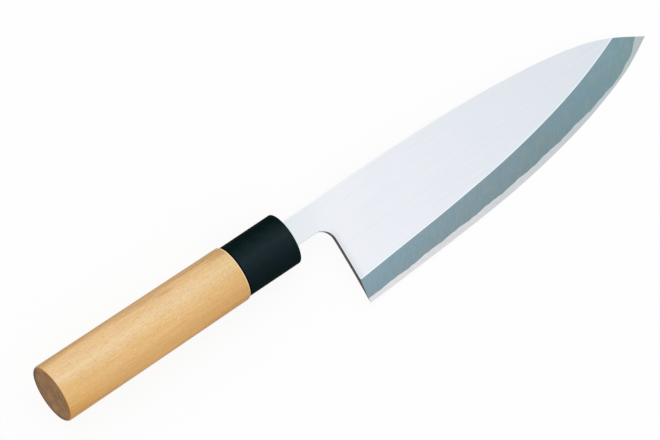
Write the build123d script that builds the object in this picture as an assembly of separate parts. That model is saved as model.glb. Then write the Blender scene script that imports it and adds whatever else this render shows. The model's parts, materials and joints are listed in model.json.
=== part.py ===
from build123d import *
import os
from math import sqrt

# Deba knife with a single-bevel laminated blade and an oval wooden handle, in millimetres.
# The knife is drawn along its own axes: X runs from the butt of the handle to the tip, with zero
# at the front of the ferrule, Y runs from the edge to the spine, and Z from the hollow back to
# the bevelled face. At the end it is laid on its back, as it rests on a table.

# Blade
blade_length = 180.5          # heel corner to tip
blade_height = 50.7           # edge to spine at the heel
tip_drop = 21.0               # how far the spine has come down at the tip
spine_rise = 6.95             # spine above the handle's axis
spine_thickness = 3.2         # at the ferrule
tip_thickness = 1.6           # of the two flats, carried on to the tip
bevel_height = 11.2           # edge to bevel line at the heel
edge_land = 0.12              # thickness left at the cutting edge
spine_easing = 0.2            # radius on the spine's corners

# Neck and heel
neck_length = 19.2            # ferrule to heel corner
neck_height = 12.1
neck_thinning = 0.25          # taken off the neck's front at its shoulder
neck_thinning_length = 4.0    # ferrule to where the thinning runs out
heel_lean = 0.9               # heel corner behind the top of the heel
heel_bow = 0.33               # belly of the heel's line
choil_radius = 6.8

# Hollow back
hollow_depth = 0.35
back_rim = 2.6                # flat left along the edge and the spine

# Hard steel layer
core_start = 6.0              # its end on the neck, in front of the ferrule

# Tang
tang_length = 88.0
tang_root_height = 9.4
tang_end_height = 5.2
tang_root_thickness = 2.6
tang_end_thickness = 1.9

# Ferrule
ferrule_length = 28.9
ferrule_width = 24.4
ferrule_thickness = 19.2
ferrule_wall = 1.8
ferrule_front_wall = 3.2
ferrule_front_chamfer = 0.6

# Handle
handle_length = 129.8         # ferrule included
handle_front_width = 25.9
handle_front_thickness = 20.4
handle_butt_width = 27.1
handle_butt_thickness = 21.6
handle_front_round = 1.1
butt_round = 1.3
tenon_chamfer = 0.8
mortise_spare_depth = 4.0     # room past the tang's end

# Fits
tenon_clearance = 0.12        # between tenon and ferrule
tang_clearance = 0.25         # round the tang in its mortise
slot_clearance = 0.7          # round the neck in the ferrule, filled by the seal
slot_round = 1.2              # corners of the ferrule's slot
seal_recess = 0.4             # seal below the ferrule's front face

# How far a cutter runs past what it cuts
overrun = 3.0
hollow_overrun = 0.2          # the hollow's cutter below the back

# Where the edge touches the table, as a share of its own length from the heel
rest_share = 0.68
rest_rounds = 4               # steps that bring the ferrule's touching point home

# Stations along the blade, as shares of its length. The first and last lie past heel and tip.
station_shares = (-0.06, 0.0, 0.125, 0.25, 0.375, 0.5, 0.625, 0.75, 0.85, 0.925, 1.0, 1.05)
spine_drop_shares = (0.014, 0.014, 0.0, 0.0, 0.015, 0.055, 0.131, 0.26, 0.434, 0.672, 1.0, 1.23)
edge_rise_shares = (-0.01, 0.0, 0.037, 0.076, 0.124, 0.193, 0.3, 0.448, 0.613, 0.773, 1.0, 1.16)
bevel_height_shares = (0.96, 1.0, 1.06, 1.11, 1.17, 1.22, 1.26, 1.3, 1.33, 1.34, 1.26, 1.2)
hollow_depth_shares = (0.8, 1.0, 1.0, 0.85, 0.6, 0.3)
hollow_station_shares = (0.2, 0.3, 0.45, 0.6, 0.72, 0.82)
hollow_start_share = 0.05
hollow_end_share = 0.9

# Top of the hard layer, as shares of the blade's length and of its thickness there
core_station_shares = (
    0.0, 0.06, 0.125, 0.19, 0.25, 0.31, 0.375, 0.44, 0.5, 0.56, 0.625, 0.69,
    0.75, 0.8, 0.85, 0.89, 0.925, 0.95, 0.965, 0.98, 1.0,
)
core_height_shares = (
    0.22, 0.226, 0.22, 0.242, 0.254, 0.25, 0.25, 0.249, 0.245, 0.239, 0.231, 0.223,
    0.205, 0.17, 0.155, 0.155, 0.19, 0.24, 0.34, 0.45, 0.8,
)

# Places that follow from the sizes
back = -spine_thickness / 2
tip_x = neck_length + blade_length
edge_y = spine_rise - blade_height
neck_top_y = spine_rise - tip_drop * spine_drop_shares[1]
shoulder_x = -ferrule_front_wall


def blade_x(share):
    return neck_length + share * blade_length


def thickness_at(x):
    """Thickness between the two flats, which come together evenly towards the tip."""
    travelled = (x - neck_thinning_length) / (tip_x - neck_thinning_length)
    return spine_thickness + (tip_thickness - spine_thickness) * travelled


def between(shares, values, share):
    """Value at a share, on straight lines between the stations."""
    for low, high, start, end in zip(shares, shares[1:], values, values[1:]):
        if share <= high:
            return start + (end - start) * (share - low) / (high - low)
    return values[-1]


def spine_at(share):
    return spine_rise - tip_drop * between(station_shares, spine_drop_shares, share)


def edge_at(share):
    rise = blade_height - tip_drop
    return edge_y + rise * between(station_shares, edge_rise_shares, share)


def outline_curve(height_at):
    """Smooth line of the blade's outline from heel to tip."""
    return smooth_line([(blade_x(share), height_at(share)) for share in station_shares[1:-1]])


def smooth_line(points):
    """Spline that leaves its first point and meets its last along the chords there."""
    points = [Vector(*point) for point in points]
    return Spline(*points, tangents=[points[1] - points[0], points[-1] - points[-2]])


def plan_face():
    """Neck and blade seen from the bevelled side, up to the shoulder inside the ferrule."""
    heel = Vector(neck_length, edge_y)
    corner = Vector(neck_length + heel_lean, neck_top_y - neck_height)
    belly = (heel + corner) / 2 + Vector(heel_bow, 0)
    neck_top = Vector(shoulder_x, neck_top_y)
    neck_bottom = Vector(shoulder_x, corner.Y)
    outline = [
        Line(neck_top, (neck_length, neck_top_y)),
        outline_curve(spine_at),
        outline_curve(edge_at),
        ThreePointArc(heel, belly, corner),
        Line(corner, neck_bottom),
        Line(neck_bottom, neck_top),
    ]
    face = make_face(outline)
    inner_corner = face.vertices().sort_by_distance((corner.X, corner.Y, 0))[0]
    return fillet(inner_corner, choil_radius)


def side_prism(points):
    """A closed outline in X and Z, carried across the whole height of the blade."""
    face = Plane.XZ * make_face(points)
    return extrude(face, amount=blade_height + overrun, both=True)


def blank():
    """Forged blank: the plan outline between the flat back and the tapering front flat."""
    front = back + spine_thickness
    far_x = tip_x + overrun
    profile = Polyline(
        (shoulder_x, back),
        (far_x, back),
        (far_x, back + thickness_at(far_x)),
        (neck_thinning_length, front),
        (shoulder_x, front - neck_thinning),
        close=True,
    )
    plate = extrude(plan_face(), amount=spine_thickness + overrun)
    plate = Pos(0, 0, back) * plate & side_prism(profile)
    corners = [
        line for line in plate.edges()
        if line.center().Y > spine_rise - tip_drop and line.bounding_box().size.X > spine_easing
    ]
    return fillet(corners, spine_easing)


def bevel_section(share, bevel_share):
    """Section of the bevel's cutter: all that lies above the line from edge to bevel line."""
    x = blade_x(share)
    low = Vector(x, edge_at(share), back + edge_land)
    high = Vector(x, edge_at(share) + bevel_height * bevel_share, back + thickness_at(x))
    way = (high - low).normalized() * overrun
    low, high = low - way, high + way
    ceiling = spine_thickness + overrun
    corners = [low, high, Vector(x, high.Y, ceiling), Vector(x, low.Y, ceiling)]
    return make_face(Polyline(*corners, close=True))


def hollow_section(share, depth):
    """Section of the hollow's cutter: a shallow arc of the same curve at every station."""
    x = blade_x(share)
    half_width = (spine_at(share) - edge_at(share)) / 2 - back_rim
    middle = (spine_at(share) + edge_at(share)) / 2
    reach = half_width * sqrt((depth + hollow_overrun) / hollow_depth)
    low = Vector(x, middle - reach, back - hollow_overrun)
    high = Vector(x, middle + reach, back - hollow_overrun)
    crown = Vector(x, middle, back + depth)
    return make_face([ThreePointArc(low, crown, high), Line(high, low)])


def hollow_cutter():
    ends = -hollow_overrun / 2
    stations = [(hollow_start_share, ends)]
    stations += [
        (share, hollow_depth * depth_share)
        for share, depth_share in zip(hollow_station_shares, hollow_depth_shares)
    ]
    stations.append((hollow_end_share, ends))
    return loft([hollow_section(share, depth) for share, depth in stations])


def core_region():
    """All that lies below the weld between the two steels, in front of the layer's end."""
    weld = [
        (blade_x(share), back + height * thickness_at(blade_x(share)))
        for share, height in zip(core_station_shares, core_height_shares)
    ]
    start = (core_start, weld[0][1])
    floor_z = back - overrun
    return side_prism([
        Line(start, weld[0]),
        smooth_line(weld),
        Polyline(weld[-1], (tip_x + overrun, weld[-1][1]), (tip_x + overrun, floor_z),
                 (core_start, floor_z), start),
    ])


def across(x, height, thickness):
    """Upright rectangle across the handle's axis."""
    return Plane.YZ.offset(x) * Rectangle(height, thickness)


def tang():
    root = across(shoulder_x, tang_root_height, tang_root_thickness)
    end = across(shoulder_x - tang_length, tang_end_height, tang_end_thickness)
    return loft([root, end])


def oval(x, width, thickness):
    return Plane.YZ.offset(x) * Ellipse(width / 2, thickness / 2)


def front_edges(shape):
    return shape.faces().sort_by(Axis.X)[-1].edges()


def back_edges(shape):
    return shape.faces().sort_by(Axis.X)[0].edges()


def slot_face(x, spare):
    """Outline of the slot that the neck passes through, drawn in by a spare."""
    height = neck_height + 2 * (slot_clearance - spare)
    thickness = spine_thickness + 2 * (slot_clearance - spare)
    middle = neck_top_y - neck_height / 2
    return Plane.YZ.offset(x) * Pos(middle, 0) * RectangleRounded(height, thickness, slot_round)


def ferrule():
    """Moulded cap with a slot for the neck and a socket for the handle's tenon."""
    body = extrude(oval(0, ferrule_width, ferrule_thickness), amount=-ferrule_length)
    body = chamfer(front_edges(body), ferrule_front_chamfer)
    socket = oval(
        -ferrule_front_wall,
        ferrule_width - 2 * ferrule_wall,
        ferrule_thickness - 2 * ferrule_wall,
    )
    body -= extrude(socket, amount=-ferrule_length)
    return body - extrude(slot_face(overrun, 0), amount=-ferrule_length)


def handle():
    """Magnolia handle with a tenon for the ferrule and a tapering mortise for the tang."""
    grip = loft([
        oval(-handle_length, handle_butt_width, handle_butt_thickness),
        oval(-ferrule_length, handle_front_width, handle_front_thickness),
    ])
    grip = fillet(front_edges(grip), handle_front_round)
    grip = fillet(back_edges(grip), butt_round)
    smaller = 2 * (ferrule_wall + tenon_clearance)
    tenon_face = oval(-ferrule_length, ferrule_width - smaller, ferrule_thickness - smaller)
    tenon = extrude(tenon_face, amount=ferrule_length - ferrule_front_wall)
    tenon = chamfer(front_edges(tenon), tenon_chamfer)
    return grip + tenon - mortise()


def mortise():
    """The tang's own taper with its clearance, carried on past both its ends."""
    taper_height = (tang_root_height - tang_end_height) / tang_length
    taper_thickness = (tang_root_thickness - tang_end_thickness) / tang_length
    mouth_height = tang_root_height + 2 * tang_clearance + taper_height * overrun
    mouth_thickness = tang_root_thickness + 2 * tang_clearance + taper_thickness * overrun
    spare = mortise_spare_depth
    floor_height = tang_end_height + 2 * tang_clearance - taper_height * spare
    floor_thickness = tang_end_thickness + 2 * tang_clearance - taper_thickness * spare
    return loft([
        across(shoulder_x + overrun, mouth_height, mouth_thickness),
        across(shoulder_x - tang_length - spare, floor_height, floor_thickness),
    ])


def tang_seal(neck):
    """Resin poured round the neck in the ferrule's slot."""
    plug = extrude(slot_face(-seal_recess, 0), amount=seal_recess - ferrule_front_wall)
    return plug - neck


def table_plane():
    """Table that the edge touches at one point and the ferrule's front rim at another."""
    edge_line = outline_curve(edge_at)
    touch = edge_line.position_at(rest_share) + Vector(0, 0, back)
    half_width = ferrule_width / 2
    half_thickness = ferrule_thickness / 2
    rim = Vector(-ferrule_front_chamfer, 0, -half_thickness)
    for _ in range(rest_rounds):
        up = (touch - rim).cross(edge_line.tangent_at(rest_share)).normalized()
        reach = sqrt((half_width * up.Y) ** 2 + (half_thickness * up.Z) ** 2)
        low_y = -up.Y * half_width ** 2 / reach
        low_z = -up.Z * half_thickness ** 2 / reach
        rim = Vector(-ferrule_front_chamfer, low_y, low_z)
    return Plane(origin=rim, x_dir=Vector(1, 0, -up.X / up.Z), z_dir=up)


def lay_down(pieces):
    """Lay the knife on its back, with its middle over the origin and the table at zero."""
    to_table = table_plane().location.inverse()
    laid = {name: to_table * shape for name, shape in pieces.items()}
    box = Compound(list(laid.values())).bounding_box()
    shift = Pos(-box.center().X, -box.center().Y, -box.min.Z)
    return {name: shift * shape for name, shape in laid.items()}


def build():
    sections = [
        bevel_section(share, bevel_share)
        for share, bevel_share in zip(station_shares, bevel_height_shares)
    ]
    bevel = loft(sections)
    plate = blank()
    core = core_region()
    return lay_down({
        "blade_cladding": plate - core - bevel + tang(),
        "edge_steel": (plate & core) - bevel - hollow_cutter(),
        "ferrule": ferrule(),
        "handle": handle(),
        "tang_seal": tang_seal(plate),
    })


os.makedirs("parts", exist_ok=True)
for name, shape in build().items():
    export_step(shape, f"parts/{name}.step")
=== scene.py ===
import json
import math

import bmesh
import bpy
import numpy as np
from mathutils import Matrix, Vector, geometry


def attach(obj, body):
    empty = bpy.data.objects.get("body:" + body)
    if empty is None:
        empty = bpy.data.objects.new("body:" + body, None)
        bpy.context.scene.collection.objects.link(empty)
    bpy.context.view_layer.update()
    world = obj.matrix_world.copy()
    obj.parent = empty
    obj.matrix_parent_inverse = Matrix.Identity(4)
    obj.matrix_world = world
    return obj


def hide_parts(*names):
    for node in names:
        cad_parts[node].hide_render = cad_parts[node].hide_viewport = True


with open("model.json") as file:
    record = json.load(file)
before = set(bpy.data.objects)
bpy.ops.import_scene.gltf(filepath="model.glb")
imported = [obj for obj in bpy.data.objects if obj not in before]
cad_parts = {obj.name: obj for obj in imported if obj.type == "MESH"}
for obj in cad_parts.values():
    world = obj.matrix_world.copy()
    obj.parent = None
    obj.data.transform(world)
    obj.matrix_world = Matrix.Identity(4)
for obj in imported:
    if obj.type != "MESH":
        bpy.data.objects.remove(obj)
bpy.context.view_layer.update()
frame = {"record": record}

# Deba knife with a single-bevel laminated blade, a black ferrule and an oval magnolia handle.
# Sizes are in millimetres along the knife's own axes: X runs from the butt to the tip, with zero
# at the front of the ferrule, Y from the edge to the spine, and Z from the hollow back to the
# bevelled face. The frame's mounts say where these axes lie in the scene.

millimetre = 0.001

# Blade
blade_length = 180.5
blade_height = 50.7
tip_drop = 21.0
spine_rise = 6.95
spine_thickness = 3.2
tip_thickness = 1.6
bevel_height = 11.2
edge_land = 0.12
easing = 0.2
easing_thickness_share = 0.4      # of the thickness, where the blade is too thin for the easing
thinnest_eased = 0.05             # a thinner plate keeps its sharp corner
bevel_line_width = 0.45           # polished line where the bevel meets the flat, its brightness partly a painted highlight

# Neck and heel
neck_length = 19.2
neck_height = 12.1
neck_thinning = 0.25
neck_thinning_length = 4.0
heel_lean = 0.9
heel_bow = 0.33
choil_radius = 6.8
dark_heel_share = 0.36            # of the choil's radius: how far below the neck the heel turns to its painted dark reflection

# Hollow back and hard layer
hollow_depth = 0.35
back_rim = 2.6
core_start = 6.0
layer_step = 0.02                 # run of the small step where the hard layer starts
weld_sink = 0.01                  # how far the soft steel's mesh runs into the hard layer
skin_inset = 0.02                 # how far each mesh stays inside its solid's outer faces

# Tang
tang_length = 88.0
tang_root_height = 9.4
tang_end_height = 5.2
tang_root_thickness = 2.6
tang_end_thickness = 1.9
tang_overlap = 0.5                # how far the tang's mesh runs into the neck
tang_corner = 0.5

# Ferrule
ferrule_length = 28.9
ferrule_width = 24.4
ferrule_thickness = 19.2
ferrule_wall = 1.8
ferrule_front_wall = 3.2
ferrule_front_round = 0.6
ferrule_back_round = 0.15
slot_clearance = 0.7
slot_round = 1.2
slot_edge_round = 0.25
slot_edge_wear = 0.6

# Handle
handle_length = 129.8
handle_front_width = 25.9
handle_front_thickness = 20.4
handle_butt_width = 27.1
handle_butt_thickness = 21.6
handle_front_round = 1.1
butt_round = 1.3
tenon_clearance = 0.12
tenon_chamfer = 0.8
tang_clearance = 0.25
mortise_spare_depth = 4.0
mortise_corner = 0.4

# Seal, across the gap from the slot's wall to the neck: the resin climbs both
seal_gap_shares = (0.0, 0.25, 0.5, 0.75, 0.96)
seal_recesses = (0.15, 0.3, 0.4, 0.3, 0.15)

# Stations along the blade, as shares of its length, each followed by what is there as a share of
# the size that it is named for. The core is the hard layer, as a share of the blade's thickness.
station_shares = (-0.06, 0.0, 0.125, 0.25, 0.375, 0.5, 0.625, 0.75, 0.85, 0.925, 1.0, 1.05)
spine_drop_shares = (0.014, 0.014, 0.0, 0.0, 0.015, 0.055, 0.131, 0.26, 0.434, 0.672, 1.0, 1.23)
edge_rise_shares = (-0.01, 0.0, 0.037, 0.076, 0.124, 0.193, 0.3, 0.448, 0.613, 0.773, 1.0, 1.16)
bevel_height_shares = (0.96, 1.0, 1.06, 1.11, 1.17, 1.22, 1.26, 1.3, 1.33, 1.34, 1.26, 1.2)
hollow_station_shares = (0.05, 0.2, 0.3, 0.45, 0.6, 0.72, 0.82, 0.9)
hollow_depth_shares = (-0.28, 0.8, 1.0, 1.0, 0.85, 0.6, 0.3, -0.28)
core_station_shares = (
    0.0, 0.06, 0.125, 0.19, 0.25, 0.31, 0.375, 0.44, 0.5, 0.56, 0.625, 0.69,
    0.75, 0.8, 0.85, 0.89, 0.925, 0.95, 0.965, 0.98, 1.0,
)
core_height_shares = (
    0.22, 0.226, 0.22, 0.242, 0.254, 0.25, 0.25, 0.249, 0.245, 0.239, 0.231, 0.223,
    0.205, 0.17, 0.155, 0.155, 0.19, 0.24, 0.34, 0.45, 0.8,
)

# Fine ripples of the weld: wavelength along the blade, height as a share of the layer, start
weld_ripples = ((18.7, 0.011, 2.38), (7.3, 0.005, 0.4), (4.1, 0.003, 2.1))

# How finely the meshes are cut and joined
outline_step = 1.0
choil_step = 0.35
field_step = 4.0
rim_step = 1.5
hollow_step = 2.5
hollow_cuts = 400                 # where the hollow's rim is sought, before it is evenly spaced
curve_cuts = 12                   # between two stations of a curve
oval_cuts = 144
round_cuts = 5
blade_round_cuts = 3
ferrule_rings = 14
grip_rings = 40
butt_ring_shares = (0.85, 0.6, 0.35, 0.12)
merge_distance = 0.002
crease_angle = math.radians(24)
large_face_weight = 100           # how far the shading of a point leans to its larger faces

# Limits that keep the meshes clean where lines meet
past_blade = 40.0                 # far behind the heel, and far past the neck's edges
least_run = 0.1                   # from a crossing to the next point
crossing_clearance = 0.2          # the same for a line inside a ring, as a share of its segment
corner_reach = outline_step / 4   # a corner this near a place is moved there
grid_clearance = 0.55             # between grid points and lines, as a share of the grid's step
plan_tolerance = 1e-7
tiny = 1e-9

# Places that follow from the sizes
back = -spine_thickness / 2
tip_x = neck_length + blade_length
edge_y = spine_rise - blade_height
neck_top_y = spine_rise - tip_drop * spine_drop_shares[1]
neck_bottom_y = neck_top_y - neck_height
slot_y = neck_top_y - neck_height / 2
shoulder_x = -ferrule_front_wall
dark_heel_y = neck_bottom_y - choil_radius * dark_heel_share


# Lines of the blade

def smooth_line(points):
    """Points along the smooth curve through the given ones, leaving and arriving on the chords."""
    points = np.array(points)
    steps = np.linalg.norm(np.diff(points, axis=0), axis=1)
    slopes = np.diff(points, axis=0) / steps[:, None]
    count = len(points)
    rows = np.eye(count)
    sides = np.zeros_like(points)
    sides[0] = slopes[0]
    sides[-1] = slopes[-1]
    for i in range(1, count - 1):
        before, after = 1 / steps[i - 1], 1 / steps[i]
        rows[i, i - 1:i + 2] = before, 2 * (before + after), after
        sides[i] = 3 * (slopes[i - 1] * before + slopes[i] * after)
    tangents = np.linalg.solve(rows, sides)
    line = [points[:1]]
    share = np.linspace(0, 1, curve_cuts + 1)[1:, None]
    for i in range(count - 1):
        start, end = points[i], points[i + 1]
        bulge_out = (share * (1 - share) ** 2) * tangents[i] * steps[i]
        bulge_in = (share ** 2 * (share - 1)) * tangents[i + 1] * steps[i]
        line.append((1 + 2 * share) * (1 - share) ** 2 * start
                    + share ** 2 * (3 - 2 * share) * end + bulge_out + bulge_in)
    return np.vstack(line)


def blade_x(shares):
    return neck_length + np.array(shares) * blade_length


def station_line(heights, first=0, last=None):
    xs = blade_x(station_shares)[first:last]
    return smooth_line(np.column_stack((xs, heights[first:last])))


spine_heights = spine_rise - tip_drop * np.array(spine_drop_shares)
edge_heights = edge_y + (blade_height - tip_drop) * np.array(edge_rise_shares)
bevel_heights = edge_heights + bevel_height * np.array(bevel_height_shares)
spine_line = station_line(spine_heights, 1, -1)
edge_line = station_line(edge_heights, 1, -1)
bevel_line = station_line(bevel_heights)
hollow_line = smooth_line(np.column_stack((
    blade_x(hollow_station_shares), hollow_depth * np.array(hollow_depth_shares))))
core_line = smooth_line(np.column_stack((
    blade_x(core_station_shares), np.array(core_height_shares) * spine_thickness)))
core_line[:, 1] /= spine_thickness    # shares again, once the curve is drawn in millimetres


def on_line(line, x):
    return np.interp(x, line[:, 0], line[:, 1])


def thickness_at(x):
    travelled = (x - neck_thinning_length) / (tip_x - neck_thinning_length)
    thinned = (x - neck_thinning_length) / (neck_thinning_length - shoulder_x) * neck_thinning
    return np.where(x < neck_thinning_length, spine_thickness + thinned,
                    spine_thickness + (tip_thickness - spine_thickness) * travelled)


def share_of_bevel(x, y):
    """How far up the bevel a place lies: none at the edge, one at the bevel line."""
    low, high = on_line(edge_line, x), on_line(bevel_line, x)
    return (y - low) / (high - low)


def bevelled_face(x, y):
    """Height of the flat, or of the bevel below the bevel line."""
    full = thickness_at(x)
    return back + np.minimum(full, edge_land + share_of_bevel(x, y) * (full - edge_land))


def weld(x, y):
    """Height of the weld between the two steels, with its fine ripples."""
    share = on_line(core_line, x)
    for wavelength, height, start in weld_ripples:
        share = share + height * np.sin(2 * np.pi * x / wavelength + start)
    return back + share * thickness_at(x)


def hollow_back(x, y):
    """Height of the hollow back: one curve at every station, sunk less towards its ends."""
    low, high = on_line(edge_line, x), on_line(spine_line, x)
    half_width = (high - low) / 2 - back_rim
    deep = on_line(hollow_line, x) - hollow_depth * ((y - (low + high) / 2) / half_width) ** 2
    inside = (x > hollow_line[0, 0]) & (x < hollow_line[-1, 0])
    return back + np.where(inside, np.maximum(deep, 0), 0)


def layer_floor(x, y):
    """Underside of the soft steel: the back on the neck, and the weld in front of the step."""
    risen = np.clip((x - core_start) / layer_step, 0, 1)
    return back + risen * (weld(x, y) - weld_sink - back)


def layer_top(x, y):
    """Upper side of the hard steel: the weld, and the bevel where that lies lower."""
    return np.minimum(weld(x, y), bevelled_face(x, y))


def weld_line():
    """Where the weld comes out on the bevel."""
    x = np.arange(neck_length - choil_radius, tip_x, outline_step / 2)
    low, high = on_line(edge_line, x), on_line(bevel_line, x)
    full = thickness_at(x)
    climbed = (weld(x, 0) - back - edge_land) / (full - edge_land)
    return np.column_stack((x, low + climbed * (high - low)))


def hollow_rim():
    """Closed line where the hollow ends at the flat rim of the back."""
    x = np.linspace(*hollow_line[(0, -1), 0], hollow_cuts)
    low, high = on_line(edge_line, x), on_line(spine_line, x)
    depth = on_line(hollow_line, x)
    sunk = depth > 0
    reach = ((high - low) / 2 - back_rim)[sunk] * np.sqrt(depth[sunk] / hollow_depth)
    middle = ((low + high) / 2)[sunk]
    upper = np.column_stack((x[sunk], middle + reach))
    lower = np.column_stack((x[sunk], middle - reach))
    rim = spaced(np.vstack((upper, lower[::-1], upper[:1])), rim_step)
    return np.vstack((rim, rim[:1]))


# Outline of the blade

def along(start, end, step):
    """Points from start up to, but without, the end."""
    start, end = np.array(start, float), np.array(end, float)
    count = max(1, round(np.linalg.norm(end - start) / step))
    return start + (end - start) * np.linspace(0, 1, count, endpoint=False)[:, None]


def spaced(line, step):
    """The line again, in even steps, without its last point."""
    lengths = np.concatenate(([0], np.cumsum(np.linalg.norm(np.diff(line, axis=0), axis=1))))
    count = max(2, round(lengths[-1] / step))
    places = np.linspace(0, lengths[-1], count, endpoint=False)
    return np.column_stack([np.interp(places, lengths, line[:, i]) for i in (0, 1)])


def heel_line():
    """The heel from its corner at the edge up to the neck, slightly bowed."""
    share = np.linspace(0, 1, curve_cuts * 4 + 1)
    x = neck_length + heel_lean * share + heel_bow * 4 * share * (1 - share)
    y = edge_y + (neck_bottom_y - edge_y) * share
    return np.column_stack((x, y))


def choil():
    """The heel below the choil's round, the round itself, and where it leaves the neck."""
    heel = heel_line()
    corner = heel[-1]
    neck_way = np.array([shoulder_x, neck_bottom_y]) - corner
    neck_way /= np.linalg.norm(neck_way)
    near = heel[np.argmin(abs(heel[:, 1] - (corner[1] - choil_radius)))]
    heel_way = (near - corner) / np.linalg.norm(near - corner)
    half_angle = math.acos(neck_way @ heel_way) / 2
    reach = choil_radius / math.tan(half_angle)
    between = (neck_way + heel_way) / np.linalg.norm(neck_way + heel_way)
    middle = corner + between * choil_radius / math.sin(half_angle)
    first, last = corner + heel_way * reach - middle, corner + neck_way * reach - middle
    turn = math.acos(first @ last / choil_radius ** 2)
    count = round(choil_radius * turn / choil_step)
    share = np.linspace(0, 1, count, endpoint=False)[:, None]
    arc = (np.sin((1 - share) * turn) * first + np.sin(share * turn) * last) / math.sin(turn)
    below = heel[heel[:, 1] < (middle + first)[1]]
    return spaced(np.vstack((below, middle + first)), outline_step), middle + arc, middle + last


def outline(start_x, lower_line, last_x):
    """Closed outline from start_x on the neck, along the spine, and back on the lower line."""
    heel, arc, neck_point = choil()
    start_low, start_high = (start_x, neck_bottom_y), (start_x, neck_top_y)
    top = spine_line[spine_line[:, 0] < last_x]
    top = np.vstack((top, (last_x, on_line(spine_line, last_x))))
    lower = lower_line[lower_line[:, 0] < last_x][::-1]
    upper_heel = heel[heel[:, 1] > lower[-1, 1]]
    return np.vstack((
        along(start_high, (neck_length, neck_top_y), outline_step),
        spaced(top, outline_step), top[-1:], lower, upper_heel, arc,
        along(neck_point, start_low, outline_step), along(start_low, start_high, outline_step),
    ))


def crossings(line, ring):
    """Where a line crosses a closed ring: counted along the line, with the place."""
    found = []
    starts, ends = ring, np.roll(ring, -1, axis=0)
    for i in range(len(line) - 1):
        way, side = line[i + 1] - line[i], ends - starts
        gap = starts - line[i]
        cross = way[0] * side[:, 1] - way[1] * side[:, 0]
        apart = cross != 0
        cross = np.where(apart, cross, 1)
        share = (gap[:, 0] * side[:, 1] - gap[:, 1] * side[:, 0]) / cross
        over = (gap[:, 0] * way[1] - gap[:, 1] * way[0]) / cross
        for hit in np.flatnonzero(apart & (share >= 0) & (share < 1) & (over >= 0) & (over < 1)):
            found.append((i + share[hit], line[i] + way * share[hit]))
    return sorted(found, key=lambda item: item[0])


def within(line, ring):
    """The stretch of the line between its first and its last crossing of the ring."""
    hits = crossings(line, ring)
    (first, start), (last, end) = hits[0], hits[-1]
    inner = line[math.ceil(first + crossing_clearance):math.floor(last - crossing_clearance) + 1]
    return np.vstack((start, inner, end))


def across(x, ring):
    """The line across the neck at x."""
    return within(np.array([(x, -past_blade), (x, past_blade)]), ring)


def with_corner(ring, place):
    """The ring with one more corner at a place on it."""
    ends = np.roll(ring, -1, axis=0)
    way = ends - ring
    share = np.clip(((place - ring) * way).sum(1) / (way ** 2).sum(1), 0, 1)
    gaps = np.linalg.norm(ring + way * share[:, None] - place, axis=1)
    at = int(np.argmin(gaps))
    near = np.linalg.norm(ring - place, axis=1)
    if near.min() < corner_reach:
        ring = ring.copy()
        ring[int(np.argmin(near))] = place
        return ring
    return np.insert(ring, at + 1, place, axis=0)


def with_ends(ring, lines):
    """The ring with a corner wherever one of the lines ends on it."""
    for line in lines:
        ring = with_corner(with_corner(ring, line[0]), line[-1])
    return ring


def is_inside(points, ring):
    """Whether each point lies inside the ring, by the even-odd rule."""
    x, y = points[:, 0], points[:, 1]
    result = np.zeros(len(points), bool)
    for (x0, y0), (x1, y1) in zip(ring, np.roll(ring, -1, axis=0)):
        if y0 != y1:
            spans = (y0 > y) != (y1 > y)
            result ^= spans & (x < (x1 - x0) * (y - y0) / (y1 - y0) + x0)
    return result


def inward(ring):
    """Way into the ring at each corner, longer where the corner is sharp, at most doubled."""
    way = np.roll(ring, -1, axis=0) - ring
    way /= np.linalg.norm(way, axis=1)[:, None]
    normal = np.column_stack((way[:, 1], -way[:, 0]))
    middle = normal + np.roll(normal, 1, axis=0)
    middle /= np.linalg.norm(middle, axis=1)[:, None]
    stretch = 1 / np.clip((middle * normal).sum(1), 0.5, 1)
    return middle * stretch[:, None]


# Meshes

def finish_at(finish, place):
    """The finish's name at a place. It is a name already, or a function that gives one."""
    return finish(place) if callable(finish) else finish


class Shell:
    """Points, faces and finishes of one piece, gathered part by part."""

    def __init__(self):
        self.points = []
        self.faces = []
        self.finishes = []
        self.values = []

    def add_points(self, points, value=0.0):
        first = len(self.points)
        self.points.extend(tuple(point) for point in points)
        self.values.extend([value] * len(points))
        return list(range(first, len(self.points)))

    def add_face(self, corners, finish):
        self.faces.append(tuple(corners))
        self.finishes.append(finish)

    def bridge(self, ring, other, finish):
        """Faces between two rings of points."""
        count = len(ring)
        for i in range(count):
            j = (i + 1) % count
            name = finish_at(finish, np.array(self.points[ring[i]]))
            self.add_face((ring[i], ring[j], other[j], other[i]), name)

    def cap(self, ring, finish):
        """A fan of faces that closes a ring of points."""
        middle = np.mean([self.points[i] for i in ring], axis=0)
        centre, = self.add_points([middle])
        for first, second in zip(ring, ring[1:] + ring[:1]):
            self.add_face((first, second, centre), finish)


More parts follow.
